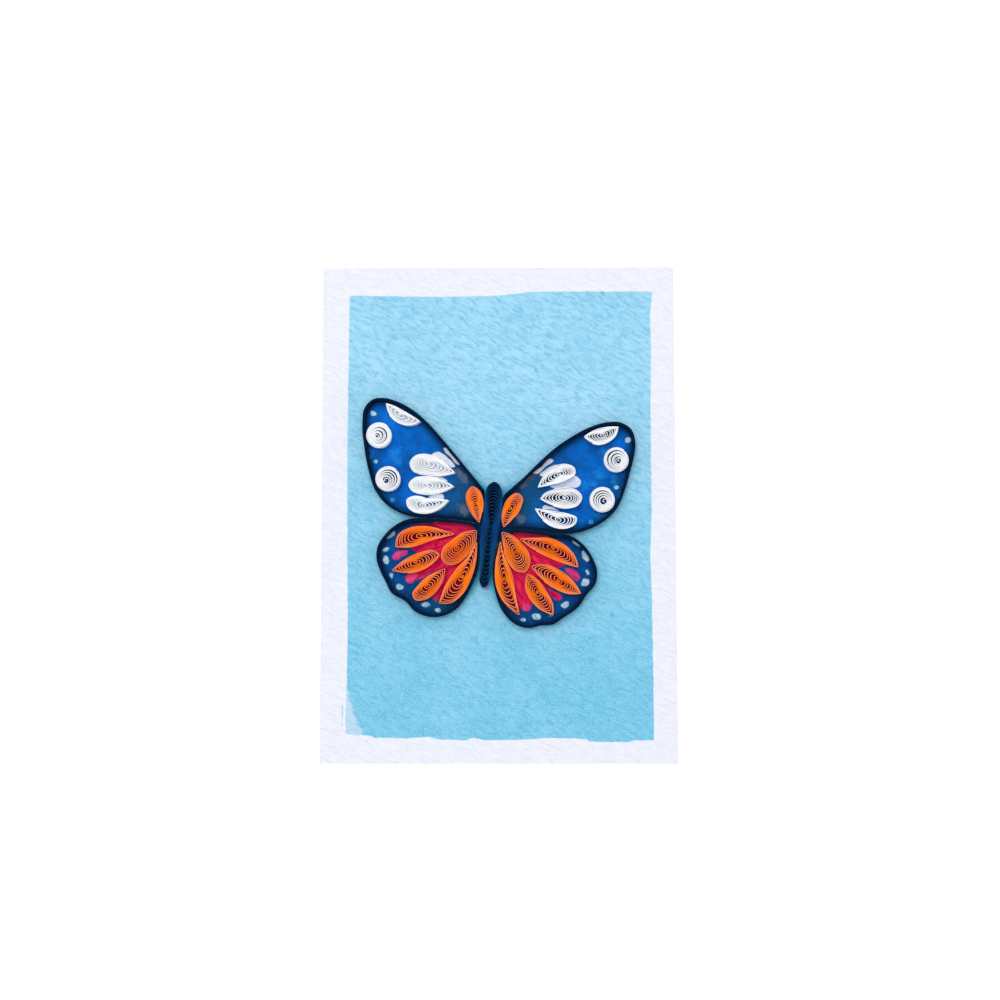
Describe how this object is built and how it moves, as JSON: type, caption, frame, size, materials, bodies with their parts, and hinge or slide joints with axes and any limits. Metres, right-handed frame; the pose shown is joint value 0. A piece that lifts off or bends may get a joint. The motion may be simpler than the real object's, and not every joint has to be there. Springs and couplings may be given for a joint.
{
  "type": "quilled paper butterfly card",
  "caption": "Quilled paper butterfly: coils of paper strip standing on edge inside dark strip edgings, on a paper wing shape glued to a flat painted card.",
  "frame": {"origin": "middle of the card's back, on the surface the card lies on", "axes": "+Z out of the card's painted face, +Y towards the butterfly's head, +X towards the viewer's right"},
  "size_m": [0.127, 0.178, 0.0044],
  "materials": {
    "painted_card": "matt watercolour wash on rough card with a bare white margin",
    "painted_wings": "matt paint with loose brush marks",
    "navy_paper": "matt dyed paper strip",
    "white_paper": "matt white paper strip",
    "orange_paper": "matt dyed paper strip"
  },
  "bodies": {
    "root": {"card": "painted_card", "wing_base": "painted_wings", "body": "navy_paper", "forewing_edge_left": "navy_paper", "forewing_edge_right": "navy_paper", "hindwing_edge_left": "navy_paper", "hindwing_edge_right": "navy_paper", "spot_left_upper": "white_paper", "spot_left_lower": "white_paper", "spot_right_upper": "white_paper", "spot_right_lower": "white_paper", "tip_leaf_left": "white_paper", "tip_leaf_right": "white_paper", "forewing_drop_left_1": "white_paper", "forewing_drop_left_2": "white_paper", "forewing_drop_left_3": "white_paper", "forewing_drop_right_1": "white_paper", "forewing_drop_right_2": "white_paper", "forewing_drop_right_3": "white_paper", "shoulder_drop_left": "orange_paper", "shoulder_drop_right": "orange_paper", "hind_petal_left_1": "orange_paper", "hind_petal_left_2": "orange_paper", "hind_petal_left_3": "orange_paper", "hind_petal_left_4": "orange_paper", "hind_petal_left_5": "orange_paper", "hind_petal_right_1": "orange_paper", "hind_petal_right_2": "orange_paper", "hind_petal_right_3": "orange_paper", "hind_petal_right_4": "orange_paper", "hind_petal_right_5": "orange_paper"}
  },
  "joints": []
}
